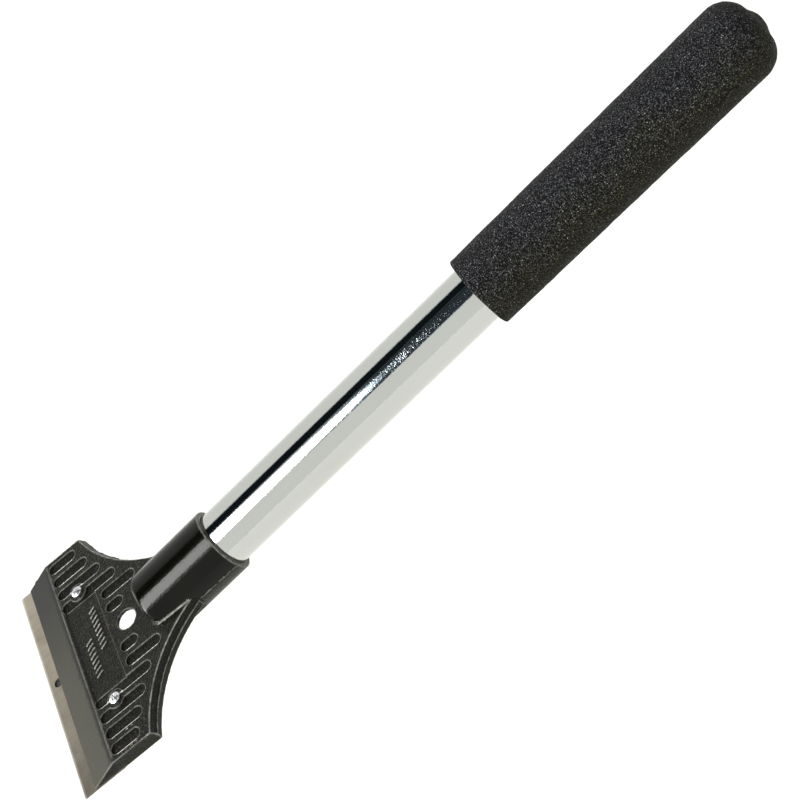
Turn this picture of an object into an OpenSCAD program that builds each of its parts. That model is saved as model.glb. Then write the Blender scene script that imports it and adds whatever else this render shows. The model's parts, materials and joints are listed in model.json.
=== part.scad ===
// Floor scraper: a wide cast head clamps a double-edged blade with two screws and a lower bar.
// The head's socket carries a chromed tube with a foam grip.
// Millimetres. X runs from the blade to the grip, Y along the blade, Z is up with the tool lying on its grip.

/* [Handle] */
// Outside diameter of the chromed tube
tube_od = 22.2; // [16:0.1:32]
// Wall thickness of the tube
tube_wall = 1.2; // [0.8:0.1:2.5]
// Length of bare tube between the socket mouth and the grip
tube_bare = 127.5; // [60:0.1:400]
// Length of the foam grip without its end nub
grip_len = 129.0; // [90:0.1:200]
// Grip radius at its open end
grip_r_low = 14.5; // [13:0.1:20]
// Grip radius near its closed end
grip_r_high = 15.2; // [13:0.1:22]
// Corner radius of the closed end
grip_round = 10; // [3:0.1:14]
// Foam thickness over the end of the tube
grip_floor = 10; // [3:0.1:20]
// Radius at the base of the moulding nub on the closed end
nub_r = 4.2; // [2:0.1:8]
// Height of the moulding nub
nub_h = 1.6; // [0.5:0.1:5]

/* [Socket] */
// Outside diameter of the socket
socket_od = 26.3; // [20:0.1:40]
// Length of the socket along the handle
socket_len = 37; // [20:0.1:80]
// Thickness of the socket's closed end
socket_floor = 3; // [1.5:0.1:8]
// Distance from the handle reference point to the socket's closed end
socket_start = 5.6; // [0:0.1:20]
// Edge chamfer on the closed end of the socket
socket_chamfer = 1.1; // [0.2:0.1:2]
// Edge chamfer on the socket's mouth
socket_lip = 0.25; // [0.1:0.05:1]

/* [Head plate] */
// Length of the head along the blade
head_w = 101.6; // [50:0.1:250]
// Height of the top face above the blade's top face
plate_h = 5.3; // [3:0.1:12]
// Height of the square edge at the nose
nose_edge = 0.6; // [0.2:0.1:2]
// Run of the bevel from the nose to the top face
bevel_run = 11.8; // [4:0.1:20]
// Rear end of the plate inside the socket
plate_run = 63.5; // [40:0.5:90]
// Radius of the concave flanks at the top face
flank_r = 55.4; // [30:0.1:90]
// Distance of the flank centres behind the nose
flank_x = 82.6; // [60:0.1:120]
// Distance of the flank centres from the middle
flank_y = 64.5; // [40:0.1:90]
// How far the flank wall leans out down to the parting line
flank_out = 1.2; // [0:0.1:3]
// How far the flank wall leans back in below the parting line
flank_in = 0.3; // [0:0.1:1.5]
// Height of the parting line above the blade
parting_z = 2.4; // [0.5:0.1:4]
// Angle between the blade plane and the handle
head_tilt = 6.2; // [0:0.1:45]
// Point where the head turns into the handle axis, behind the nose
axis_x = 40; // [20:0.1:60]
// Height of the handle axis above the blade at that point
axis_z = 0.6; // [-5:0.1:10]
// Radius of the hang hole
hang_r = 4.15; // [2:0.1:6]
// Distance of the hang hole behind the nose
hang_x = 35.9; // [31:0.1:38]
// Skin thickness left around the hang hole
hang_skin = 1.5; // [1:0.1:4]
// Skin thickness over the hollow underside
skin = 2.2; // [1.5:0.1:4]
// Thickness of the flank walls round the hollow underside
side_wall = 2.4; // [1.5:0.1:5]

/* [Grip slots on the face] */
// Width of each slot
slot_w = 4.4; // [2:0.1:6]
// Depth of each slot
slot_depth = 0.9; // [0.3:0.1:1.5]
// Distance between slot centre lines
slot_pitch = 7.23; // [5:0.01:9]
// Distance of the outermost slot from the middle
slot_first = 46.4; // [40:0.1:48]
// Front end of the four outer slots, behind the nose
slot_front = 12.9; // [11:0.1:16]
// Front end of the two inner slots, behind the nose
slot_inner_front = 29.8; // [28:0.1:33]
// Rear ends of the slots from the outermost inwards
slot_rear = [25.6, 29.1, 33.3, 38.4, 45.5, 37.4];
// Front edge of the shallow panel
panel_front = 13.3; // [11:0.1:16]
// Rear edge of the shallow panel
panel_rear = 27.9; // [20:0.1:28]
// Half length of the shallow panel
panel_half = 26.6; // [15:0.1:27]
// Depth of the shallow panel
panel_depth = 0.5; // [0.2:0.1:0.8]

/* [Blade] */
// Length of the cutting edge
blade_len = 101.6; // [50:0.1:250]
// Width of the blade from edge to edge
blade_w = 19.05; // [15:0.05:30]
// Blade thickness
blade_t = 0.6; // [0.4:0.05:1.5]
// How far the blade stands out of the nose
blade_out = 5.2; // [2:0.1:10]
// Width of the ground bevel along each edge
grind_w = 0.8; // [0.3:0.1:3]
// Thickness left at the cutting edge
edge_t = 0.08; // [0.05:0.01:0.2]
// Width of the slot through the blade
blade_slot_w = 3.8; // [2:0.1:6]
// Length of the slot through the blade
blade_slot_len = 14.4; // [6:0.1:15]
// Offset of the blade slot from the middle
blade_slot_y = 2.1; // [0:0.1:5]

/* [Clamp bar] */
// Front of the thick part of the bar, behind the nose
bar_front = 10.5; // [8:0.1:13]
// Rear of the bar, behind the nose
bar_rear = 27.3; // [24:0.1:29]
// Half length of the thick part of the bar
bar_half = 48.4; // [30:0.1:50]
// Thickness of the thick part of the bar
bar_t = 2.4; // [1.5:0.1:4]
// Front of the tongue that presses on the blade
tongue_front = -3.1; // [-4:0.1:6]
// Half length of the tongue
tongue_half = 46.4; // [30:0.1:48]
// Thickness of the tongue
tongue_t = 1.2; // [0.8:0.1:2]
// Relief of the bar's heel under the head
heel_relief = 0.25; // [0.1:0.05:0.6]
// Radius of the threaded collars under the bar
collar_r = 3.6; // [2.6:0.1:5]
// Height of the threaded collars under the bar
collar_h = 1.5; // [0.5:0.1:3]

/* [Clamp screws] */
// Distance of the screws behind the nose
screw_x = 21.2; // [17:0.1:23]
// Distance of the screws from the middle
screw_y = 27.7; // [20:0.1:35]
// Thread diameter of the clamp screws
screw_d = 2.5; // [2.5:0.1:5]
// Diameter of the pan head
screw_head_d = 4.5; // [4:0.1:8]
// Height of the pan head
screw_head_h = 1.5; // [1:0.1:3]
// Width of the cross recess across its wings
recess_w = 2.6; // [2:0.1:4]
// Thickness of the wings of the cross recess
recess_t = 0.65; // [0.5:0.05:1.2]
// Depth of the cross recess
recess_depth = 1.0; // [0.6:0.1:1.8]
// Radius of the flat pad under each screw head
pad_r = 3.9; // [3:0.1:6]

/* [Handle rivet] */
// Diameter of the rivet's shank
rivet_d = 4; // [2.5:0.1:6]
// Diameter of the rivet's domed head
rivet_head_d = 7.4; // [5:0.1:10]
// Height of the rivet's domed head
rivet_head_h = 1.3; // [0.6:0.1:2.5]
// Distance of the rivet from the socket's closed end
rivet_at = 22; // [10:0.1:32]
// Radius of the flat pad under the rivet head
rivet_pad_r = 4.6; // [4:0.1:7]
// Height of the flat pad under the rivet head
rivet_pad_h = 0.45; // [0.2:0.05:1.5]

/* [Hidden] */
$fn = 64;
eps = 0.05;
gap = 0.05;
head_color = [0.05, 0.05, 0.052];
blade_color = [0.62, 0.6, 0.54];
bar_color = [0.06, 0.06, 0.06];
zinc_color = [0.78, 0.79, 0.8];
chrome_color = [0.8, 0.81, 0.8];
rivet_color = [0.62, 0.63, 0.64];
foam_color = [0.03, 0.03, 0.032];
tube_r = tube_od / 2;
socket_r = socket_od / 2;
bore_r = tube_r + gap;
socket_end = socket_start + socket_len;
tube_start = socket_start + socket_floor + 0.2;
grip_start = socket_end + tube_bare;
grip_end = grip_start + grip_len;
tube_end = grip_end - grip_floor - 0.2;
tool_end = grip_end + nub_h;
land_z = -blade_t;
blade_top = -gap;
blade_rear = blade_w - blade_out;
seat_rear = blade_rear + 0.1;
bar_top = blade_top - blade_t - gap;
heel_top = bar_top - heel_relief;
bar_bottom = bar_top - bar_t;
edge_low = blade_top - blade_t / 2 - edge_t / 2 - axis_z;
edge_x = (-blade_out - axis_x) * cos(head_tilt) + edge_low * sin(head_tilt);
shift_x = -(tool_end + edge_x) / 2;
shift_z = grip_r_high;
rivet_x = socket_start + rivet_at;
rivet_seat = socket_r + rivet_pad_h;
slot_count = len(slot_rear);

// Carries a shape from the handle frame, whose X is the handle axis, to the tool's place
module in_handle() {
    translate([shift_x, 0, shift_z])
        children();
}

// Carries a shape from the head frame, whose Z = 0 is the top of the blade, to the tool's place
module in_head() {
    in_handle()
        rotate([0, head_tilt, 0])
            translate([-axis_x, 0, -axis_z])
                children();
}

// Round bar along X from x0 to x1
module bar_x(x0, x1, r) {
    translate([x0, 0, 0])
        rotate([0, 90, 0])
            cylinder(h = x1 - x0, r = r);
}

// Cone along X from radius r0 at x0 to radius r1 at x1
module cone_x(x0, x1, r0, r1) {
    translate([x0, 0, 0])
        rotate([0, 90, 0])
            cylinder(h = x1 - x0, r1 = r0, r2 = r1);
}

// Plate seen from the side: square nose, bevel, top face, blade seat and rear land
module plate_profile() {
    polygon([
        [0, 0],
        [0, nose_edge],
        [bevel_run, plate_h],
        [plate_run, plate_h],
        [plate_run, land_z],
        [seat_rear, land_z],
        [seat_rear, 0]
    ]);
}

// Tool that cuts one concave flank, widest at the top face and narrowest at the parting line
module flank_cutter() {
    translate([flank_x, flank_y, 0]) {
        translate([0, 0, parting_z])
            cylinder(h = plate_h - parting_z, r1 = flank_r - flank_out, r2 = flank_r);
        translate([0, 0, plate_h - eps])
            cylinder(h = 2, r = flank_r);
        translate([0, 0, land_z - 1])
            cylinder(h = parting_z - land_z + 1 + eps, r1 = flank_r - flank_out + flank_in, r2 = flank_r - flank_out);
    }
}

// Round-ended slot from x0 to x1 along X, cut down from the top face
module face_slot(x0, x1, y) {
    r = slot_w / 2;
    translate([0, y, plate_h - slot_depth])
        linear_extrude(height = slot_depth + 1) {
            translate([x0 + r, 0])
                circle(r = r);
            translate([x1 - r, 0])
                circle(r = r);
            translate([x0 + r, -r])
                square([x1 - x0 - slot_w, slot_w]);
        }
}

// All slots on one side of the face
module face_slots() {
    for (i = [0 : slot_count - 1])
        face_slot(i < 4 ? slot_front : slot_inner_front, slot_rear[i], slot_first - i * slot_pitch);
}

// One hollow under the face between the ribs y0 and y1
module under_pocket(y0, y1) {
    difference() {
        translate([bar_rear + 2.2, y0, land_z - 1])
            cube([26, y1 - y0, plate_h - skin - land_z + 1]);
        for (m = [-1, 1])
            translate([flank_x, m * flank_y, land_z - 2])
                cylinder(h = plate_h - land_z + 4, r = flank_r + side_wall);
    }
}

// Flat plate of the head with flanks, slots, panel and hollow underside
module plate() {
    difference() {
        union() {
            difference() {
                translate([0, head_w / 2, 0])
                    rotate([90, 0, 0])
                        linear_extrude(height = head_w)
                            plate_profile();
                flank_cutter();
                mirror([0, 1, 0])
                    flank_cutter();
                face_slots();
                mirror([0, 1, 0])
                    face_slots();
                translate([panel_front, -panel_half, plate_h - panel_depth])
                    cube([panel_rear - panel_front, 2 * panel_half, 2]);
            }
            for (m = [-1, 1])
                translate([screw_x, m * screw_y, plate_h - 1.5])
                    cylinder(h = 1.5, r = pad_r);
        }
        under_pocket(-9.4, 9.4);
        under_pocket(11.4, 20);
        under_pocket(-20, -11.4);
        under_pocket(22, 34);
        under_pocket(-34, -22);
        translate([hang_x, 0, land_z - 1])
            cylinder(h = plate_h - hang_skin - land_z + 1, r = hang_r + 1.4);
        translate([hang_x, 0, land_z - 2])
            cylinder(h = plate_h - land_z + 4, r = hang_r);
        for (m = [-1, 1])
            translate([screw_x, m * screw_y, land_z - 2])
                cylinder(h = plate_h - land_z + 4, r = screw_d / 2 + gap);
    }
}

// Black cast head: plate and handle socket in one piece
module head_casting() {
    color(head_color)
        difference() {
            union() {
                in_head()
                    plate();
                in_handle() {
                    cone_x(socket_start, socket_start + socket_chamfer, socket_r - socket_chamfer, socket_r);
                    bar_x(socket_start + socket_chamfer, socket_end - socket_lip, socket_r);
                    cone_x(socket_end - socket_lip, socket_end, socket_r, socket_r - socket_lip);
                    translate([rivet_x, 0, -rivet_seat])
                        cylinder(h = 2, r = rivet_pad_r);
                }
            }
            in_handle() {
                bar_x(socket_start + socket_floor, socket_end + 1, bore_r);
                cone_x(socket_end - 0.3, socket_end + eps, bore_r, bore_r + 0.35);
                translate([rivet_x, 0, -rivet_seat - 1])
                    cylinder(h = 6, r = rivet_d / 2 + gap);
            }
        }
}

// Blade section across its width, both edges ground on both faces
module blade_profile() {
    t = blade_t / 2;
    e = edge_t / 2;
    polygon([
        [0, -e],
        [grind_w, -t],
        [blade_w - grind_w, -t],
        [blade_w, -e],
        [blade_w, e],
        [blade_w - grind_w, t],
        [grind_w, t],
        [0, e]
    ]);
}

// Double-edged steel blade held under the nose
module blade() {
    r = blade_slot_w / 2;
    color(blade_color)
        in_head()
            difference() {
                translate([-blade_out, blade_len / 2, blade_top - blade_t / 2])
                    rotate([90, 0, 0])
                        linear_extrude(height = blade_len)
                            blade_profile();
                translate([-blade_out + blade_w / 2, blade_slot_y, blade_top - blade_t - 1])
                    linear_extrude(height = blade_t + 2) {
                        translate([-blade_slot_len / 2 + r, 0])
                            circle(r = r);
                        translate([blade_slot_len / 2 - r, 0])
                            circle(r = r);
                        translate([-blade_slot_len / 2 + r, -r])
                            square([blade_slot_len - blade_slot_w, blade_slot_w]);
                    }
            }
}

// Lower bar that presses the blade up against the head
module clamp_bar() {
    color(bar_color)
        in_head()
            difference() {
                union() {
                    translate([bar_front, -bar_half, bar_bottom])
                        cube([bar_rear - bar_front, 2 * bar_half, heel_top - bar_bottom]);
                    translate([bar_front, -tongue_half, heel_top - eps])
                        cube([blade_rear - bar_front, 2 * tongue_half, bar_top - heel_top + eps]);
                    translate([0, tongue_half, 0])
                        rotate([90, 0, 0])
                            linear_extrude(height = 2 * tongue_half)
                                polygon([
                                    [tongue_front, bar_top],
                                    [tongue_front, bar_top - tongue_t / 4],
                                    [tongue_front + 4, bar_top - tongue_t],
                                    [bar_front + 1, bar_top - tongue_t],
                                    [bar_front + 1, bar_top]
                                ]);
                    for (m = [-1, 1])
                        translate([screw_x, m * screw_y, bar_bottom - collar_h])
                            cylinder(h = collar_h + 1, r = collar_r);
                }
                for (m = [-1, 1])
                    translate([screw_x, m * screw_y, bar_bottom - collar_h - 1])
                        cylinder(h = bar_t + collar_h + 3, r = screw_d / 2 + gap);
            }
}

// Pan-head clamp screw with a cross recess, standing at the origin with its head up
module clamp_screw() {
    head_z = plate_h + gap;
    tip_z = bar_bottom - collar_h - 0.4;
    head_r = screw_head_d / 2;
    dome_r = (head_r * head_r + 1) / 2 + 0.6;
    difference() {
        union() {
            translate([0, 0, tip_z + 0.4])
                cylinder(h = head_z - tip_z - 0.4 + eps, r = screw_d / 2);
            translate([0, 0, tip_z])
                cylinder(h = 0.4, r1 = screw_d / 2 - 0.4, r2 = screw_d / 2);
            intersection() {
                translate([0, 0, head_z])
                    cylinder(h = screw_head_h, r = head_r);
                translate([0, 0, head_z + screw_head_h - dome_r])
                    sphere(r = dome_r);
            }
        }
        intersection() {
            union() {
                for (a = [0, 90])
                    rotate([0, 0, a])
                        translate([-recess_w / 2, -recess_t / 2, head_z])
                            cube([recess_w, recess_t, screw_head_h + 1]);
            }
            translate([0, 0, head_z + screw_head_h - recess_depth])
                cylinder(h = recess_depth + 0.5, r1 = 0.6, r2 = recess_w / 2 + 0.2);
        }
    }
}

module clamp_screw_left() {
    color(zinc_color)
        in_head()
            translate([screw_x, screw_y, 0])
                rotate([0, 0, 20])
                    clamp_screw();
}

module clamp_screw_right() {
    color(zinc_color)
        in_head()
            translate([screw_x, -screw_y, 0])
                rotate([0, 0, 65])
                    clamp_screw();
}

// Chromed steel tube from inside the socket to inside the grip
module handle_tube() {
    color(chrome_color)
        in_handle()
            difference() {
                bar_x(tube_start, tube_end, tube_r);
                bar_x(tube_start - 1, tube_end + 1, tube_r - tube_wall);
                translate([rivet_x, 0, -tube_r - 1])
                    cylinder(h = 4, r = rivet_d / 2 + gap);
            }
}

// Blind rivet through the underside of socket and tube
module handle_rivet() {
    head_r = rivet_head_d / 2;
    dome_r = (head_r * head_r + rivet_head_h * rivet_head_h) / (2 * rivet_head_h);
    bulb_z = -tube_r + tube_wall + 0.5;
    color(rivet_color)
        in_handle()
            translate([rivet_x, 0, 0])
                difference() {
                    union() {
                        translate([0, 0, -rivet_seat - eps])
                            cylinder(h = rivet_seat + bulb_z + 1.2 + eps, r = rivet_d / 2);
                        translate([0, 0, bulb_z])
                            cylinder(h = 1.2, r = rivet_d / 2 + 0.7);
                        intersection() {
                            translate([0, 0, -rivet_seat - rivet_head_h - 0.02])
                                cylinder(h = rivet_head_h, r = head_r);
                            translate([0, 0, -rivet_seat - rivet_head_h - 0.02 + dome_r])
                                sphere(r = dome_r);
                        }
                    }
                    translate([0, 0, -rivet_seat - rivet_head_h - 1])
                        cylinder(h = 1.8, r = 1.1);
                }
}

// Half section of the grip's outside, radius along X and length along Y
module grip_section() {
    straight = grip_len - grip_round;
    intersection() {
        polygon([
            [0, 0],
            [grip_r_low - 1.2, 0],
            [grip_r_low, 1.2],
            [grip_r_high, straight],
            [grip_r_high, grip_len],
            [0, grip_len]
        ]);
        union() {
            square([grip_r_high, straight]);
            square([grip_r_high - grip_round, grip_len]);
            translate([grip_r_high - grip_round, straight])
                circle(r = grip_round);
        }
    }
}

// Black foam grip, closed over the end of the tube, with a moulding nub
module foam_grip() {
    color(foam_color)
        in_handle()
            difference() {
                union() {
                    translate([grip_start, 0, 0])
                        rotate([0, 90, 0])
                            rotate_extrude()
                                grip_section();
                    cone_x(grip_end - 0.5, tool_end, nub_r, nub_r * 0.6);
                }
                bar_x(grip_start - 1, grip_end - grip_floor, tube_r + 0.02);
            }
}

head_casting();
blade();
clamp_bar();
clamp_screw_left();
clamp_screw_right();
handle_tube();
handle_rivet();
foam_grip();
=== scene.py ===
import json
import math

import bmesh
import bpy
import numpy as np
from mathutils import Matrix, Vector, noise


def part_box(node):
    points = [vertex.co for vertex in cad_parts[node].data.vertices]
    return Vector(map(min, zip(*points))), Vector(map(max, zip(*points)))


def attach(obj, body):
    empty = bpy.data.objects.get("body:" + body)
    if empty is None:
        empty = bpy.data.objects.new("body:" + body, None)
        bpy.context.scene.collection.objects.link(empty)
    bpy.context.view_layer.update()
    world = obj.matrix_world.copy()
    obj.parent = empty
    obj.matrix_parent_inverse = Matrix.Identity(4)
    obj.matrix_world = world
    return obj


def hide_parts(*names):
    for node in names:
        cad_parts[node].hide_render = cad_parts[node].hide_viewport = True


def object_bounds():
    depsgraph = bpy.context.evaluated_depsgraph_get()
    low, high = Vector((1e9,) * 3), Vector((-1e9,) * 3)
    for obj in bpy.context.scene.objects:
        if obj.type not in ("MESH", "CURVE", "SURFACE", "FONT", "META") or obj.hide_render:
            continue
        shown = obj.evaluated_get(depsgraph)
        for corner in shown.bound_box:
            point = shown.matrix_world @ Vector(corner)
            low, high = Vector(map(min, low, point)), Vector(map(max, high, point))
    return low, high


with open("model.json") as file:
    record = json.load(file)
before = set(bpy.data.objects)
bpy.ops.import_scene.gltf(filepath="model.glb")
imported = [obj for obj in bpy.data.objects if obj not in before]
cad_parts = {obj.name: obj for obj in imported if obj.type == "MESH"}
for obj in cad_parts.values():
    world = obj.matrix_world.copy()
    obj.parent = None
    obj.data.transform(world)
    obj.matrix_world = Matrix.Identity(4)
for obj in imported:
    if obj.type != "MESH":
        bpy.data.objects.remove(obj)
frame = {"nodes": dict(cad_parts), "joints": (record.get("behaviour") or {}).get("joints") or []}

cad_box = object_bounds()
scene = bpy.context.scene
scene.view_settings.view_transform = "Standard"
scene.view_settings.look = "None"
MM = 0.001

# ---------------------------------------------------------------- frames of the object
joints = {j["name"]: j for j in frame["joints"]}
# Sizes of the head in millimetres. x runs from the nose line to the handle, z up from the blade's top face.
PLATE_TOP = 5.3
PARTING_Z = 2.4
BEVEL_X = 11.8      # rear edge of the nose bevel
SCREW_X = 21.2
FLANK_X = 82.6      # centres and radius of the concave flanks
FLANK_Y = 64.5
FLANK_R = 55.4
SLOT_HALF = 2.2     # the face's grip slots: half width, pitch, outermost centre line
SLOT_PITCH = 7.23
SLOT_FIRST = 46.4
# front and rear end of each slot, from the outermost inwards
SLOT_ENDS = [(12.9, 25.6), (12.9, 29.1), (12.9, 33.3), (12.9, 38.4), (29.8, 45.5), (29.8, 37.4)]
SOCKET_R = 13.15
SOCKET_FLOOR = 3.0
SOCKET_X = 62       # the plate has run out here, and only the socket goes on
# Sizes of the head's fine mesh
VOXEL = 0.24
MOST_TRIANGLES = 198000
# Rows of hatch ribs in the panel: distance behind the nose, first rib's y, number of ribs
HATCH_ROWS = [(24.0, 15.5, 9), (18.6, 3.0, 8)]
HATCH_PITCH = 2.3
HATCH_HALF = 1.2
HATCH_LEAN = 1.3
HATCH_WIDTH = 0.62
# Sizes of the grip
GRIP_TAPER = 0.7    # how much smaller the radius is at the open end
GRIP_SHOULDER = 10
NUB_H = 1.6

ez = -Vector(joints["clamp_bar_drop"]["axis"]).normalized()   # out of the slotted face
ex = -Vector(joints["blade_slide"]["axis"]).normalized()      # from the blade to the handle
ey = Vector((0, 1, 0))
left, right = (Vector(joints[n]["pos_m"]) for n in ("screw_left_turn", "screw_right_turn"))
head_zero = (left + right) / 2 - ex * (SCREW_X * MM) - ez * (PLATE_TOP * MM)
low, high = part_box("handle_tube")
axis_z = (low.z + high.z) / 2
tube_r = (high.z - low.z) / 2


def head_at(x, y, z):
    """A point of the head, in millimetres from the nose line, in the row frame."""
    return head_zero + ex * (x * MM) + ey * (y * MM) + ez * (z * MM)


def head_coords(points):
    """Row-frame points as head millimetres."""
    d = (points - np.array(head_zero)) / MM
    return d @ np.array([ex, ey, ez]).T


# ---------------------------------------------------------------- mesh helpers
def new_object(name, verts, faces, smooth=True):
    mesh = bpy.data.meshes.new(name)
    mesh.from_pydata([tuple(v) for v in verts], [], faces)
    mesh.update()
    mesh.polygons.foreach_set("use_smooth", [smooth] * len(mesh.polygons))
    ob = bpy.data.objects.new(name, mesh)
    scene.collection.objects.link(ob)
    return ob


def applied(ob):
    """Replaces the mesh by the result of its modifiers."""
    graph = bpy.context.evaluated_depsgraph_get()
    graph.update()
    mesh = bpy.data.meshes.new_from_object(ob.evaluated_get(graph))
    ob.modifiers.clear()
    old = ob.data
    ob.data = mesh
    bpy.data.meshes.remove(old)
    mesh.polygons.foreach_set("use_smooth", [True] * len(mesh.polygons))
    return ob


def welded_copy(node, name):
    mesh = frame["nodes"][node].data.copy()
    mesh.materials.clear()
    bm = bmesh.new()
    bm.from_mesh(mesh)
    bmesh.ops.remove_doubles(bm, verts=bm.verts, dist=2e-6)
    bm.to_mesh(mesh)
    bm.free()
    ob = bpy.data.objects.new(name, mesh)
    scene.collection.objects.link(ob)
    return ob


def coords(mesh):
    co = np.empty(len(mesh.vertices) * 3)
    mesh.vertices.foreach_get("co", co)
    return co.reshape(-1, 3)


def set_coords(mesh, co):
    mesh.vertices.foreach_set("co", co.astype(np.float32).ravel())
    mesh.update()


def normals(mesh):
    no = np.empty(len(mesh.vertices) * 3, np.float32)
    mesh.vertex_normals.foreach_get("vector", no)
    return no.reshape(-1, 3).astype(float)


def mark_edges(ob, rounds=1):
    """Stores how sharply the surface bends at each vertex: 1 on a convex edge, -1 in a concave corner."""
    mesh = ob.data
    co, no = coords(mesh), normals(mesh)
    ends = np.empty(len(mesh.edges) * 2, np.int64)
    mesh.edges.foreach_get("vertices", ends)
    a, b = ends.reshape(-1, 2).T
    step = co[b] - co[a]
    length = np.maximum(np.linalg.norm(step, axis=1), 1e-9)
    fall_a = -np.einsum("ij,ij->i", step, no[a]) / length ** 2
    fall_b = np.einsum("ij,ij->i", step, no[b]) / length ** 2
    count = np.bincount(a, minlength=len(co)) + np.bincount(b, minlength=len(co))
    curve = (np.bincount(a, fall_a, len(co)) + np.bincount(b, fall_b, len(co))) / np.maximum(count, 1)
    for _ in range(rounds):
        near = np.bincount(a, curve[b], len(co)) + np.bincount(b, curve[a], len(co))
        curve = 0.5 * curve + 0.5 * near / np.maximum(count, 1)
    value = np.clip(curve * MM * 1.6, -1, 1)
    store = mesh.attributes.get("bend") or mesh.attributes.new("bend", "FLOAT", "POINT")
    store.data.foreach_set("value", value.astype(np.float32))


def soft(value, at, width):
    """0 below at, 1 above at + width."""
    return np.clip((value - at) / width, 0, 1)


def noise_at(points, scale, seed=0.0):
    spots = ((p[0] * scale + seed, p[1] * scale, p[2] * scale) for p in points)
    return np.array([noise.noise(Vector(spot)) for spot in spots])


def slab(a, b, width, z0, z1, taper):
    """Closed rib from head point a to b, both (x, y) in mm, between heights z0 and z1."""
    d = np.array(b) - np.array(a)
    d = d / np.linalg.norm(d)
    s = np.array([-d[1], d[0]]) * width / 2
    rings = []
    for z, k in ((z0, 1.0), (z1, taper)):
        for p, q in ((a, -1), (b, 1)):
            for w in ((-1, 1) if q < 0 else (1, -1)):
                at = np.array(p) + s * w * k + d * q * width / 2 * k
                rings.append(head_at(at[0], at[1], z))
    return rings, [(3, 2, 1, 0), (4, 5, 6, 7), (0, 1, 5, 4), (1, 2, 6, 5), (2, 3, 7, 6), (3, 0, 4, 7)]


# ---------------------------------------------------------------- material helpers
class Build:
    """A material under construction: a node tree with short names for its nodes."""

    def __init__(self, name):
        self.material = bpy.data.materials.new(name)
        self.material.use_nodes = True
        self.tree = self.material.node_tree
        self.tree.nodes.clear()
        self.out = self.tree.nodes.new("ShaderNodeOutputMaterial")
        self.shader = self.tree.nodes.new("ShaderNodeBsdfPrincipled")
        self.tree.links.new(self.shader.outputs[0], self.out.inputs[0])
        self.place = self.tree.nodes.new("ShaderNodeTexCoord").outputs["Object"]

    def link(self, a, b):
        self.tree.links.new(a, b)
        return b

    def put(self, node, index, value):
        socket = node.inputs[index]
        if isinstance(value, bpy.types.NodeSocket):
            self.link(value, socket)
        else:
            socket.default_value = value

    def math(self, op, a, b=0.0, c=0.0, clamp=False):
        n = self.tree.nodes.new("ShaderNodeMath")
        n.operation = op
        n.use_clamp = clamp
        self.put(n, 0, a)
        self.put(n, 1, b)
        self.put(n, 2, c)
        return n.outputs[0]

    def times(self, a, b, clamp=False):
        return self.math("MULTIPLY", a, b, clamp=clamp)

    def scaled(self, a, factor, plus, clamp=False):
        return self.math("MULTIPLY_ADD", a, factor, plus, clamp)

    def stretch(self, scale, source=None):
        n = self.tree.nodes.new("ShaderNodeMapping")
        self.link(source or self.place, n.inputs[0])
        n.inputs["Scale"].default_value = scale
        return n.outputs[0]

    def noise(self, scale, detail=3.0, rough=0.55, source=None, distortion=0.0):
        n = self.tree.nodes.new("ShaderNodeTexNoise")
        self.link(source or self.place, n.inputs["Vector"])
        n.inputs["Scale"].default_value = scale
        n.inputs["Detail"].default_value = detail
        n.inputs["Roughness"].default_value = rough
        n.inputs["Distortion"].default_value = distortion
        return n.outputs["Fac"]

    def cells(self, scale, feature="F1", source=None, out="Distance"):
        n = self.tree.nodes.new("ShaderNodeTexVoronoi")
        n.feature = feature
        self.link(source or self.place, n.inputs["Vector"])
        n.inputs["Scale"].default_value = scale
        return n.outputs[out]

    def ramp(self, fac, stops, interpolation="LINEAR"):
        n = self.tree.nodes.new("ShaderNodeValToRGB")
        n.color_ramp.interpolation = interpolation
        el = n.color_ramp.elements
        while len(el) < len(stops):
            el.new(0.5)
        for e, (at, colour) in zip(el, stops):
            e.position = at
            e.color = (colour, colour, colour, 1) if isinstance(colour, (int, float)) else (*colour, 1)
        self.link(fac, n.inputs[0])
        return n.outputs[0]

    def mix(self, fac, a, b, mode="MIX"):
        n = self.tree.nodes.new("ShaderNodeMix")
        n.data_type = "RGBA"
        n.blend_type = mode
        n.clamp_factor = True
        self.put(n, 0, fac)
        for i, v in ((6, a), (7, b)):
            self.put(n, i, (*v, 1) if isinstance(v, tuple) and len(v) == 3 else v)
        return n.outputs[2]

    def split(self, source=None):
        n = self.tree.nodes.new("ShaderNodeSeparateXYZ")
        self.link(source or self.place, n.inputs[0])
        return n.outputs

    def bump(self, height, strength, distance, base=None):
        n = self.tree.nodes.new("ShaderNodeBump")
        n.inputs["Strength"].default_value = strength
        n.inputs["Distance"].default_value = distance
        self.link(height, n.inputs["Height"])
        if base is not None:
            self.link(base, n.inputs["Normal"])
        return n.outputs[0]

    def stored(self, name):
        n = self.tree.nodes.new("ShaderNodeAttribute")
        n.attribute_name = name
        return n.outputs["Fac"]

    def comb(self, y, shift, half):
        """Lines along all slots' near rims, moved across by shift, each half millimetres to a side."""
        found = 0.0
        for first in (SLOT_FIRST - SLOT_HALF, -SLOT_FIRST - SLOT_HALF):
            phase = 0.5 - (first + shift) / SLOT_PITCH
            t = self.math("FRACT", self.scaled(y, 1000 / SLOT_PITCH, phase))
            t = self.math("ABSOLUTE", self.math("SUBTRACT", t, 0.5))
            found = self.math("MAXIMUM", found, self.scaled(t, -2 * SLOT_PITCH / half, 2.0, clamp=True))
        return found

    def facing(self):
        return self.split(self.tree.nodes.new("ShaderNodeTexCoord").outputs["Normal"])

    def set(self, **kw):
        for k, v in kw.items():
            value = (*v, 1) if isinstance(v, tuple) and len(v) == 3 else v
            self.put(self.shader, k.replace("_", " "), value)
        return self.material


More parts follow.
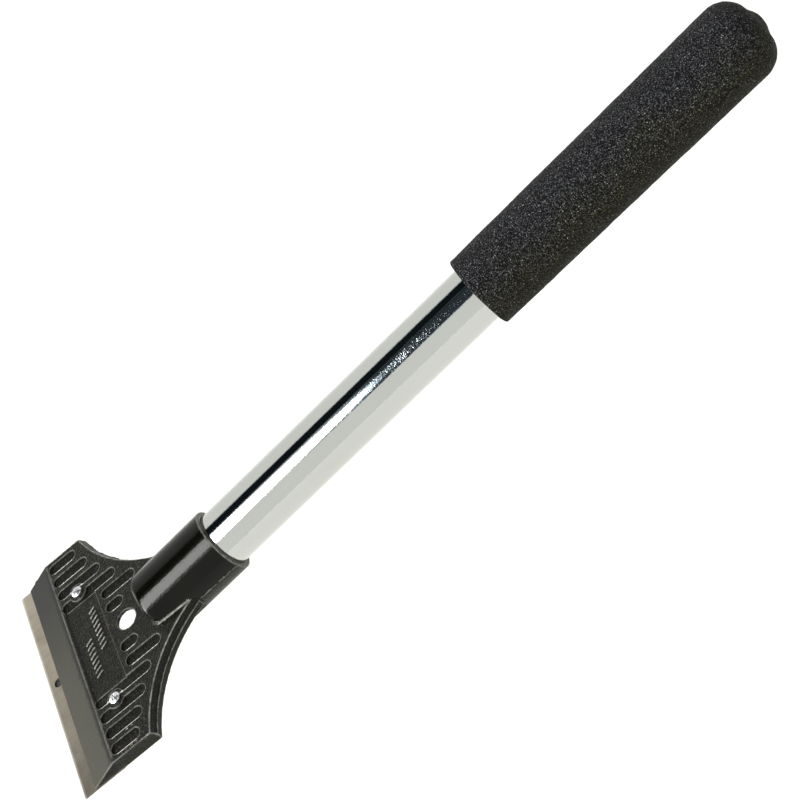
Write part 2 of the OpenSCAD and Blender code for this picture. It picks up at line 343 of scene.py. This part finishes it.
def cast_colour(m, grain, hollow):
    """Near-black paint with flecks; rims lighter from rubbed wear and painted highlights; painted shade in
    the hollows, on the slot floors and toward the near side.
    """
    rim, rough_part, low_part = m.stored("rim"), m.stored("grain"), m.stored("low")
    y = m.split()[1]
    # Painted shade: the flecks dim toward the near (-y) side, down to 0.55 of their brightness on the far
    # side.
    painted_near_side_shade = m.ramp(m.scaled(y, 10.0, 0.5), [(0.0, 0.55), (0.45, 0.6), (1.0, 1.0)])
    painted_shade_black = (0.0005, 0.0005, 0.0004)
    base = m.ramp(m.noise(70, 4, 0.6), [(0.3, (0.0010, 0.0010, 0.0006)), (0.7, (0.0026, 0.0025, 0.0015))])
    fleck = m.times(m.ramp(grain, [(0.54, 0.0), (0.68, 1.0)]), painted_near_side_shade)
    colour = m.mix(m.times(fleck, rough_part), base, (0.044, 0.044, 0.03))
    colour = m.mix(m.times(low_part, m.scaled(grain, 1.2, 0.1)), colour, (0.012, 0.0123, 0.006))
    broken = m.ramp(m.noise(330, 3, 0.6), [(0.34, 0.35), (0.6, 1.0)])
    # Painted highlight: a light line along every slot's near rim.
    near_rim_highlight = m.times(m.comb(y, -0.1, 0.45), m.ramp(m.stored("brink"), [(0.3, 0.0), (0.8, 1.0)]))
    rubbed_and_highlit = m.math("MAXIMUM", m.times(rim, broken), m.times(near_rim_highlight, m.scaled(broken, 0.5, 0.5)))
    # Painted shadow on each slot's floor beside its near wall.
    shade = m.times(m.comb(y, 1.2, 0.75), m.stored("bottom"))
    colour = m.mix(m.times(shade, 0.95), colour, painted_shade_black)
    # Lighter olive on the nose face, strongest toward the near side, following the painted shade ramp.
    nose = m.times(m.stored("nose"), m.ramp(painted_near_side_shade, [(0.6, 1.0), (0.9, 0.0)]))
    colour = m.mix(nose, colour, (0.017, 0.0165, 0.0095))
    # Painted shade in concave corners and hollows.
    colour = m.mix(m.times(hollow, 0.95), colour, painted_shade_black)
    # Rims painted light: rubbed wear on convex edges plus painted highlights.
    colour = m.mix(rubbed_and_highlit, colour, (0.55, 0.55, 0.5))
    dust = m.ramp(m.noise(2900, 1, 0.5), [(0.72, 0.0), (0.78, 1.0)])
    return m.mix(m.times(m.times(dust, 0.6), rough_part), colour, (0.13, 0.13, 0.11))


def cast_material():
    """Black paint on a fine-grained casting: satin face and a smoother, glossier socket."""
    m = Build("cast_black_paint")
    on_socket, rough_part, low_part = m.stored("round"), m.stored("grain"), m.stored("low")
    grain = m.noise(1500, 2, 0.6)
    hollow = m.ramp(m.times(m.stored("bend"), -1.0), [(0.12, 0.0), (0.5, 1.0)])
    face_rough = m.scaled(hollow, 0.45, m.scaled(grain, 0.2, 0.24))
    socket_rough = m.scaled(m.noise(300, 3, 0.5), 0.05, 0.105)
    on_face = m.math("SUBTRACT", 1.0, on_socket)
    rough = m.math("ADD", m.times(face_rough, on_face), m.times(socket_rough, on_socket))
    rough = m.scaled(m.math("MAXIMUM", low_part, m.stored("step")), 0.22, rough)
    height = m.math("ADD", m.times(grain, 1.0), m.times(m.cells(1100), 0.35))
    softer = m.scaled(m.math("MAXIMUM", rough_part, low_part), 0.9, 0.1)
    normal = m.bump(m.times(height, softer), 0.85, 0.0004)
    normal = m.bump(m.noise(60, 2, 0.5), 0.12, 0.0006, normal)
    colour = cast_colour(m, grain, hollow)
    return m.set(Base_Color=colour, Roughness=rough, Normal=normal, Specular_IOR_Level=0.18)


def blade_material():
    """Spring steel with fine scratches across the width, grey-beige film and small rust marks, painted
    darker toward the near side and lighter toward the far side.
    """
    m = Build("blade_spring_steel")
    along = m.stretch((90, 1400, 90))
    across = m.stretch((1500, 60, 1500))
    streaks = m.noise(1.0, 4, 0.6, along)
    lines = m.noise(1.0, 3, 0.6, across)
    cloud = m.noise(55, 5, 0.6)
    base = m.ramp(cloud, [(0.3, (0.235, 0.21, 0.165)), (0.7, (0.35, 0.32, 0.265))])
    bright = m.times(m.ramp(streaks, [(0.35, 0.0), (0.75, 1.0)]), 0.35)
    base = m.mix(bright, base, (0.42, 0.395, 0.345))
    specks = m.ramp(m.noise(900, 2, 0.6), [(0.66, 0.0), (0.72, 1.0)])
    base = m.mix(m.times(specks, 0.45), base, (0.12, 0.1, 0.075))
    stain = m.ramp(m.noise(160, 3, 0.6), [(0.68, 0.0), (0.74, 1.0)])
    base = m.mix(m.times(stain, 0.6), base, (0.06, 0.045, 0.03))
    # Painted shade and light: the steel darkens toward the near (-y) side and brightens toward the far
    # side.
    tone = m.ramp(m.scaled(m.split()[1], 10.0, 0.5), [(0.0, 0.6), (1.0, 1.47)])
    base = m.mix(1.0, base, tone, "MULTIPLY")
    rough = m.scaled(cloud, 0.2, 0.36)
    height = m.math("ADD", m.times(streaks, 0.6), m.times(lines, 0.4))
    normal = m.bump(height, 0.35, 0.00004)
    return m.set(Base_Color=base, Metallic=1.0, Roughness=rough, Normal=normal)


def bar_material():
    """Black oxide on a rolled steel bar, lightly scuffed along its length."""
    m = Build("bar_black_oxide")
    patches = m.noise(90, 4, 0.6)
    rolled = m.noise(1.0, 3, 0.6, m.stretch((1600, 70, 900)))
    base = m.ramp(patches, [(0.3, (0.012, 0.012, 0.011)), (0.7, (0.03, 0.029, 0.026))])
    worn = m.ramp(m.noise(1.0, 4, 0.65, m.stretch((900, 120, 900))), [(0.6, 0.0), (0.72, 1.0)])
    colour = m.mix(m.times(worn, 0.35), base, (0.12, 0.115, 0.105))
    rough = m.scaled(patches, 0.22, 0.34)
    normal = m.bump(m.math("ADD", rolled, m.times(m.noise(1100, 2, 0.5), 0.6)), 0.4, 0.00006)
    return m.set(Base_Color=colour, Roughness=rough, Normal=normal, Specular_IOR_Level=0.6)


def zinc_material():
    """Bright zinc plate with a faint blue cast, stamped grain and darker spots."""
    m = Build("zinc_plate")
    cloud = m.noise(700, 3, 0.6)
    base = m.ramp(cloud, [(0.3, (0.62, 0.64, 0.66)), (0.7, (0.83, 0.84, 0.84))])
    spots = m.ramp(m.noise(1800, 2, 0.6), [(0.6, 0.0), (0.72, 1.0)])
    base = m.mix(m.times(spots, 0.5), base, (0.3, 0.32, 0.33))
    rough = m.scaled(cloud, 0.22, 0.16)
    normal = m.bump(m.noise(1300, 3, 0.6), 0.35, 0.00008)
    return m.set(Base_Color=base, Metallic=1.0, Roughness=rough, Normal=normal)


def chrome_material():
    """Chrome plate on drawn tube: fine pits and faint drawing lines, small specks."""
    m = Build("tube_chrome_plate")
    drawn = m.noise(1.0, 3, 0.6, m.stretch((12, 700, 700)))
    pit = m.noise(2100, 2, 0.6)
    pitted = m.ramp(m.noise(25, 3, 0.6), [(0.35, 0.25), (0.7, 1.0)])
    cloud = m.noise(30, 3, 0.5)
    base = m.ramp(cloud, [(0.3, (0.555, 0.57, 0.545)), (0.7, (0.58, 0.595, 0.57))])
    specks = m.ramp(m.noise(3000, 1, 0.5), [(0.74, 0.0), (0.79, 1.0)])
    base = m.mix(m.times(specks, 0.25), base, (0.25, 0.26, 0.27))
    rough = m.scaled(m.times(pit, pitted), 0.08, 0.03)
    grit = m.times(m.ramp(m.noise(1700, 2, 0.6), [(0.56, 0.0), (0.7, 1.0)]), pitted)
    normal = m.bump(drawn, 0.10, 0.00002)
    normal = m.bump(m.times(pit, pitted), 0.35, 0.00003, normal)
    normal = m.bump(grit, 0.2, 0.00004, normal)
    return m.set(Base_Color=base, Metallic=1.0, Roughness=rough, Normal=normal)


def rivet_material():
    """Tumbled aluminium."""
    m = Build("rivet_aluminium")
    cloud = m.noise(500, 3, 0.6)
    base = m.ramp(cloud, [(0.3, (0.5, 0.51, 0.52)), (0.7, (0.66, 0.665, 0.67))])
    rough = m.scaled(cloud, 0.2, 0.3)
    normal = m.bump(m.noise(1600, 3, 0.6), 0.35, 0.00006)
    return m.set(Base_Color=base, Metallic=1.0, Roughness=rough, Normal=normal)


def foam_material():
    """Closed-cell black foam, dense fine cells with a few glinting ones painted light grey; painted light
    tints upward faces blue and the sides olive.
    """
    m = Build("foam_grip_black")
    cells = m.cells(1900)
    grain = m.noise(1900, 1, 0.6)
    # Painted light: faces turned up get a blue tint, faces turned aside an olive sheen.
    upward = m.scaled(m.facing()[2], 0.6, -0.3)
    painted_top_light = m.ramp(m.scaled(m.noise(45, 4, 0.6), 0.8, upward), [(0.15, 0.0), (0.6, 1.0)])
    cell_colour_painted_light = m.mix(painted_top_light, (0.05, 0.049, 0.031), (0.06, 0.062, 0.068))
    open_cell = m.ramp(grain, [(0.44, 0.0), (0.53, 0.12), (0.66, 1.0)])
    base = m.mix(open_cell, (0.0004, 0.0004, 0.0003), cell_colour_painted_light)
    base = m.mix(0.2, base, m.mix(painted_top_light, (0.012, 0.0115, 0.006), (0.004, 0.0042, 0.006)))
    glint = m.ramp(m.noise(2200, 1, 0.5), [(0.69, 0.0), (0.76, 1.0)])
    base = m.mix(m.times(glint, 0.9), base, (0.3, 0.3, 0.3))
    rough = m.scaled(glint, -0.25, 0.62)
    height = m.math("ADD", m.times(cells, 0.7), m.times(grain, 1.0))
    normal = m.bump(height, 1.0, 0.0006)
    normal = m.bump(m.noise(350, 2, 0.5), 0.25, 0.0003, normal)
    return m.set(Base_Color=base, Roughness=rough, Normal=normal, Specular_IOR_Level=0.07)


materials = {
    "blade": blade_material(),
    "clamp_bar": bar_material(),
    "handle_tube": chrome_material(),
    "handle_rivet": rivet_material(),
}
materials["clamp_screw_left"] = materials["clamp_screw_right"] = zinc_material()
cast = cast_material()
foam = foam_material()

BEVELS = {"blade": 0.0, "clamp_bar": 0.35, "handle_tube": 0.0, "handle_rivet": 0.12,
          "clamp_screw_left": 0.22, "clamp_screw_right": 0.22}
for node, material in materials.items():
    ob = frame["nodes"][node]
    for i in range(max(1, len(ob.data.materials))):
        if i < len(ob.material_slots):
            ob.material_slots[i].material = material
        else:
            ob.data.materials.append(material)
    if BEVELS[node] > 0:
        weld = ob.modifiers.new("weld", "WELD")
        weld.merge_threshold = 2e-6
        bevel = ob.modifiers.new("edge", "BEVEL")
        bevel.width = BEVELS[node] * MM
        bevel.segments = 2
        bevel.limit_method = "ANGLE"
        bevel.angle_limit = math.radians(38)
        bevel.harden_normals = False


# ---------------------------------------------------------------- head casting
def socket_line(x):
    """Height of the socket's parting line above the handle axis, in millimetres."""
    return -0.4 - (np.clip(x, 58, 90) - 60) * 0.045


def flash_line(co, no):
    """Height in millimetres of the broken flash left along the casting's parting line."""
    reach = 0.42
    x, y, z = head_coords(co).T
    side = np.abs(no @ np.array(ez)) < 0.8
    level = np.where(x < 60, PARTING_Z, 0)
    near_plate = np.clip(1 - np.abs(z - level) / reach, 0, 1) * (x < 61) * side
    up = (co[:, 2] - axis_z) / MM
    near_socket = np.clip(1 - np.abs(up - socket_line(x)) / reach, 0, 1) * (np.abs(y) > 12.6) * (x > 58)
    near = np.maximum(near_plate, near_socket)
    out = np.zeros(len(co))
    hit = np.nonzero(near > 0)[0]
    ragged = noise_at(co[hit], 230, 5.0) + 0.5 * noise_at(co[hit], 900, 9.0)
    out[hit] = near[hit] * np.clip(0.28 + 0.55 * ragged, 0.05, 0.5)
    return out


def round_socket(co):
    """Rounds the closed front end of the socket above the plate with a 3 mm radius."""
    round_r = 3.0 * MM
    start = low.x - SOCKET_FLOOR * MM
    up = co[:, 2] - axis_z
    radial = np.hypot(co[:, 1], up)
    outer = SOCKET_R * MM
    dx = np.minimum(co[:, 0] - (start + round_r), 0)
    dr = np.maximum(radial - (outer - round_r), 0)
    reach = np.maximum(np.hypot(dx, dr), 1e-9)
    above = np.clip((head_coords(co)[:, 2] - PLATE_TOP - 0.1) / 0.8, 0, 1)
    on_corner = (dx < 0) & (dr > 0) & (reach > round_r)
    hit = on_corner & (radial < outer + 0.3 * MM) & (co[:, 0] > start - 0.4 * MM)
    k = np.where(hit, (1 - round_r / reach) * above, 0)
    shrink = 1 - np.where(hit, k * dr, 0) / np.maximum(radial, 1e-9)
    return np.column_stack([co[:, 0] - k * dx, co[:, 1] * shrink, axis_z + up * shrink])


def rim_wear_and_highlights(h, no, bend, socket):
    """How light the rims are: a little rubbed wear on convex edges, and painted highlights on the slots'
    +y-facing near rims, hatch ribs, flanks' edges, the socket's near foot and the bevel crest.
    """
    x, y, z = h.T
    convex = soft(bend, 0.16, 0.39)
    sharp = soft(bend, 0.07, 0.16)
    across = no[:, 1] / np.maximum(np.hypot(no[:, 0], no[:, 1]), 0.05)
    # Painted highlight on sharp rims whose normals face +y, the slots' near rims.
    away = soft(across, 0.75, 0.15) * soft(no[:, 1], 0.15, 0.2) * (np.abs(z - PLATE_TOP) < 0.8)
    flank = np.clip(2.2 - np.abs(np.hypot(x - FLANK_X, np.abs(y) - FLANK_Y) - FLANK_R), 0, 1)
    hatch = (np.abs(y) < 16.5) & (x > 16.8) & (x < 25.8) & (z > 4.9)
    # Painted highlight along the socket's foot on the near side.
    foot = soft(-bend, 0.2, 0.15) * (x > 46.5) * (x < 61) * (y < -8) * (z > 5.0) * (z < 6.6)
    crest = np.clip(1 - np.abs(x - BEVEL_X - 0.3) / 0.3, 0, 1) * (z > 4.9) * (np.abs(y) < 49)
    # worn holds rubbed wear and painted highlights together.
    worn = np.maximum(0.16 * convex, 0.9 * away * sharp)
    worn = np.maximum(worn, 0.42 * sharp * hatch)
    worn = np.maximum(worn, 0.42 * flank * convex)
    worn = np.where(socket > 0.5, 0.3 * convex * (x > 60), worn)
    worn = np.maximum(worn, 0.45 * foot)
    return np.maximum(worn, 0.22 * crest)


def slot_zones(h):
    """Marks the near rim of every grip slot, and the slot's bottom beside its near wall, where the
    highlight and shadow are painted.
    """
    x, y, z = h.T
    brink, bottom = np.zeros(len(h)), np.zeros(len(h))
    for k, (front, rear) in enumerate(SLOT_ENDS):
        for hand in (-1, 1):
            d = y - hand * (SLOT_FIRST - SLOT_PITCH * k) + SLOT_HALF
            beside = (x > front + 1.8) & (x < rear - 1.8)
            brink[beside & (np.abs(d) < 0.5) & (np.abs(z - PLATE_TOP) < 0.45)] = 1
            bottom[beside & (d > 0.2) & (d < 2.7) & (z > 3.9) & (z < 4.8)] = 1
    return brink, bottom


def paint_zones(ob):
    """Stores on the mesh how the paint, its painted highlights and its painted shadows differ over the
    casting, for cast_material to read.
    """
    mesh = ob.data
    co, no = coords(mesh), normals(mesh)
    h = head_coords(co)
    x, y, z = h.T
    up = (co[:, 2] - axis_z) / MM
    lean = no @ np.array(ez)
    bend = np.empty(len(co), np.float32)
    mesh.attributes["bend"].data.foreach_get("value", bend)
    above_plate = soft(z, 5.8, 0.4)
    socket = np.maximum(above_plate, soft(x, SOCKET_X, 1.0))
    side = np.clip((0.85 - np.abs(lean)) / 0.1, 0, 1)
    low_plate = np.clip((2.3 - z) / 0.25, 0, 1) * side * (x < SOCKET_X)
    low = np.where(x > SOCKET_X, np.clip((socket_line(x) - up) / 0.25, 0, 1), low_plate)
    low *= 1 - above_plate * (x < SOCKET_X)
    brink, bottom = slot_zones(h)
    zones = {
        # rubbed wear and painted highlights on the rims
        "rim": rim_wear_and_highlights(h, no, bend, socket),
        "grain": soft(x, BEVEL_X + 0.4, 0.5) * (1 - socket) * (0.55 + 0.45 * (z > 3.9)),
        "low": low,
        "round": socket,
        "step": np.clip(1 - np.abs(x - BEVEL_X + 0.6) / 0.7, 0, 1) * (z > 4) * (np.abs(y) < 49),
        "brink": brink,
        "bottom": bottom,
        "nose": np.clip((10.6 - x) / 0.4, 0, 1) * (lean > 0.5),
    }
    for name, value in zones.items():
        store = mesh.attributes.new(name, "FLOAT", "POINT")
        store.data.foreach_set("value", value.astype(np.float32))


def hatch_ribs():
    """Corner rings and faces of the slanted ribs that stand in the panel."""
    for row_x, first_y, count in HATCH_ROWS:
        for i in range(count):
            y = first_y - i * HATCH_PITCH
            a = (row_x - HATCH_HALF, y - HATCH_LEAN / 2)
            b = (row_x + HATCH_HALF, y + HATCH_LEAN / 2)
            yield slab(a, b, HATCH_WIDTH, PLATE_TOP - 1.4, PLATE_TOP - 0.1, 0.8)


def head_piece():
    """The casting with soft cast edges, a broken parting line and rows of generic hatch ribs."""
    ob = welded_copy("head_casting", "head_cast_body")
    verts = [v.co.copy() for v in ob.data.vertices]
    faces = [tuple(p.vertices) for p in ob.data.polygons]
    for rib, quads in hatch_ribs():
        base = len(verts)
        verts += rib
        faces += [tuple(base + k for k in q) for q in quads]
    joined = new_object("head_cast", verts, faces)
    bpy.data.objects.remove(ob)
    remesh = joined.modifiers.new("remesh", "REMESH")
    remesh.mode = "VOXEL"
    remesh.voxel_size = VOXEL * MM
    smooth = joined.modifiers.new("smooth", "SMOOTH")
    smooth.factor = 0.5
    smooth.iterations = 2
    applied(joined)
    co = coords(joined.data)
    no = normals(joined.data)
    co = round_socket(co + no * (flash_line(co, no) * MM)[:, None])
    co[:, 1] = np.clip(co[:, 1], cad_box[0][1], cad_box[1][1])
    set_coords(joined.data, co)
    thin = joined.modifiers.new("thin", "DECIMATE")
    thin.ratio = min(1.0, MOST_TRIANGLES / (2 * len(joined.data.polygons)))
    applied(joined)
    mark_edges(joined)
    paint_zones(joined)
    return joined


head = head_piece()
head.data.materials.clear()
head.data.materials.append(cast)
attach(head, "head")
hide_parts("head_casting")


# ---------------------------------------------------------------- foam grip
def grip_piece():
    """Foam sleeve as a lathe: soft open rim, slow taper, round shoulder and a moulding nub."""
    a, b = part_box("foam_grip")
    x0, x1 = a.x, b.x
    r_high = (b.z - a.z) / 2
    r_low = r_high - GRIP_TAPER * MM
    bore = tube_r + 0.02 * MM
    floor_x = high.x + 0.2 * MM
    cap_x = x1 - NUB_H * MM
    profile = []

    def arc(cx, cr, r, a0, a1, n):
        for i in range(n):
            t = math.radians(a0 + (a1 - a0) * i / (n - 1))
            profile.append((cx + r * math.cos(t), cr + r * math.sin(t)))

    profile.append((floor_x, 0.0))
    for r in (0.35, 0.7, 1.0):
        profile.append((floor_x, bore * r))
    for i in range(1, 40):
        profile.append((floor_x + (x0 + 0.6 * MM - floor_x) * i / 40, bore))
    arc(x0 + 0.8 * MM, bore + 0.8 * MM, 0.8 * MM, -90, -180, 6)
    rim = 0.6 * MM
    arc(x0 + rim, r_low - rim, rim, 180, 90, 6)
    shoulder = GRIP_SHOULDER * MM
    straight = cap_x - shoulder
    steps = 210
    rim_x = x0 + rim
    for i in range(1, steps):
        t = i / steps
        profile.append((rim_x + (straight - rim_x) * t, r_low + (r_high - r_low) * t))
    arc(straight, r_high - shoulder, shoulder, 90, 20, 26)
    last_x, last_r = profile[-1]
    for i in range(1, 34):
        r = last_r * (1 - i / 34)
        swell = min(1.0, max(0.0, (7.4 - r / MM) / 6.0))
        rise_x = NUB_H * MM * swell * swell * (3 - 2 * swell)
        profile.append((cap_x - (cap_x - last_x) * (r / last_r) ** 2 + rise_x, r))
    profile.append((x1, 0.0))

    around = 288
    verts, faces = [], []
    verts.append((profile[0][0], 0, axis_z))
    for x, r in profile[1:-1]:
        for k in range(around):
            t = 2 * math.pi * k / around
            verts.append((x, r * math.cos(t), axis_z + r * math.sin(t)))
    verts.append((profile[-1][0], 0, axis_z))
    rings = len(profile) - 2
    for k in range(around):
        n = (k + 1) % around
        faces.append((0, 1 + n, 1 + k))
        for i in range(rings - 1):
            p = 1 + i * around
            faces.append((p + k, p + n, p + around + n, p + around + k))
        p = 1 + (rings - 1) * around
        faces.append((p + k, p + n, len(verts) - 1))
    ob = new_object("foam_grip_sleeve", verts, faces)
    co = coords(ob.data)
    no = normals(ob.data)
    radius = np.hypot(co[:, 1], co[:, 2] - axis_z)
    outer = np.clip((radius - bore - 1.5 * MM) / (1.0 * MM), 0, 1)
    outer[co[:, 0] > cap_x - 4 * MM] = 1.0
    waves = noise_at(co, 90, 3.1) * 0.12 + noise_at(co, 420, 7.7) * 0.07 - 0.17
    co += no * (waves * outer * MM)[:, None]
    set_coords(ob.data, co)
    return ob


grip = grip_piece()
grip.data.materials.append(foam)
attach(grip, "head")
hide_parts("foam_grip")

# ---------------------------------------------------------------- floor, light and camera
FLOOR = -0.35
FLOOR_HALF = 4
corners = [(-1, -1), (1, -1), (1, 1), (-1, 1)]
floor_verts = [(FLOOR_HALF * x, FLOOR_HALF * y, FLOOR) for x, y in corners]
floor = new_object("studio_floor", floor_verts, [(0, 1, 2, 3)], False)
fm = Build("studio_floor_paper")
tone = fm.ramp(fm.noise(3, 2, 0.5), [(0.3, (0.5, 0.5, 0.49)), (0.7, (0.51, 0.51, 0.5))])
floor.data.materials.append(fm.set(Base_Color=tone, Roughness=0.9, Specular_IOR_Level=0.1))

world = bpy.data.worlds.new("soft_studio")
scene.world = world
world.use_nodes = True
wt = world.node_tree
wt.nodes.clear()


BOX = 17.0


class Sky(Build):
    def __init__(self, tree):
        self.tree = tree
        self.place = tree.nodes.new("ShaderNodeTexCoord").outputs["Generated"]


sky = Sky(wt)
sx, sy, sz = sky.split()
# Degrees round the handle's direction: 0 toward +Y, 90 straight up, 180 toward -Y
turn = sky.math("DIVIDE", sky.math("ARCTAN2", sz, sy), math.pi / 180)


def rise(value, at, width):
    """0 below at, 1 above at + width."""
    return sky.times(sky.math("SUBTRACT", value, at), 1 / width, clamp=True)


def band(value, a, wa, b, wb):
    return sky.times(rise(value, a, wa), sky.math("SUBTRACT", 1.0, rise(value, b, wb)))


box_left = sky.math("SUBTRACT", 1.0, rise(sx, -0.262, 0.07))
box_right = rise(sx, 0.25, 0.05)
gap = band(turn, 58, 5, 88, 5)
no_box = sky.math("SUBTRACT", 1.0, sky.math("ADD", box_left, box_right, clamp=True))
middle = sky.times(no_box, band(turn, 89, 3, 128, 3))
dark = sky.math("ADD", gap, sky.times(middle, 0.965), clamp=True)
pinch = sky.math("MAXIMUM", sky.scaled(sx, 60.0, 19.8), 0.0)     # the left box narrows toward its end
near_edge = rise(sky.math("SUBTRACT", turn, pinch), 92, 5)
far_edge = rise(sky.math("ADD", turn, pinch), 125, 5)
across = sky.math("SUBTRACT", near_edge, far_edge, clamp=True)
lamp = sky.times(across, sky.math("ADD", sky.times(box_left, BOX), sky.times(box_right, BOX * 0.45)))
card = sky.times(band(turn, 5, 8, 54, 5), sky.math("SUBTRACT", 1.0, rise(sx, -0.75, 0.1)))
level = sky.math("ADD", sky.times(sky.math("SUBTRACT", 1.0, dark), 0.95), sky.times(card, 2.7))
level = sky.math("ADD", level, lamp)
tint = sky.mix(dark, (1.0, 0.995, 0.97), (0.6, 0.8, 1.0))
background = wt.nodes.new("ShaderNodeBackground")
wt.links.new(tint, background.inputs[0])
wt.links.new(sky.math("ADD", level, 0.012), background.inputs[1])
wout = wt.nodes.new("ShaderNodeOutputWorld")
wt.links.new(background.outputs[0], wout.inputs[0])

camera_data = bpy.data.cameras.new("camera")
camera = bpy.data.objects.new("camera", camera_data)
scene.collection.objects.link(camera)
camera_data.sensor_width = 36
camera_data.lens = 76.5
camera_data.clip_start = 0.05
camera.location = head_at(232.958, -429.555, 417.894)
camera.rotation_euler = [math.radians(v) for v in (32.788, 36.762, -28.011)]
scene.camera = camera
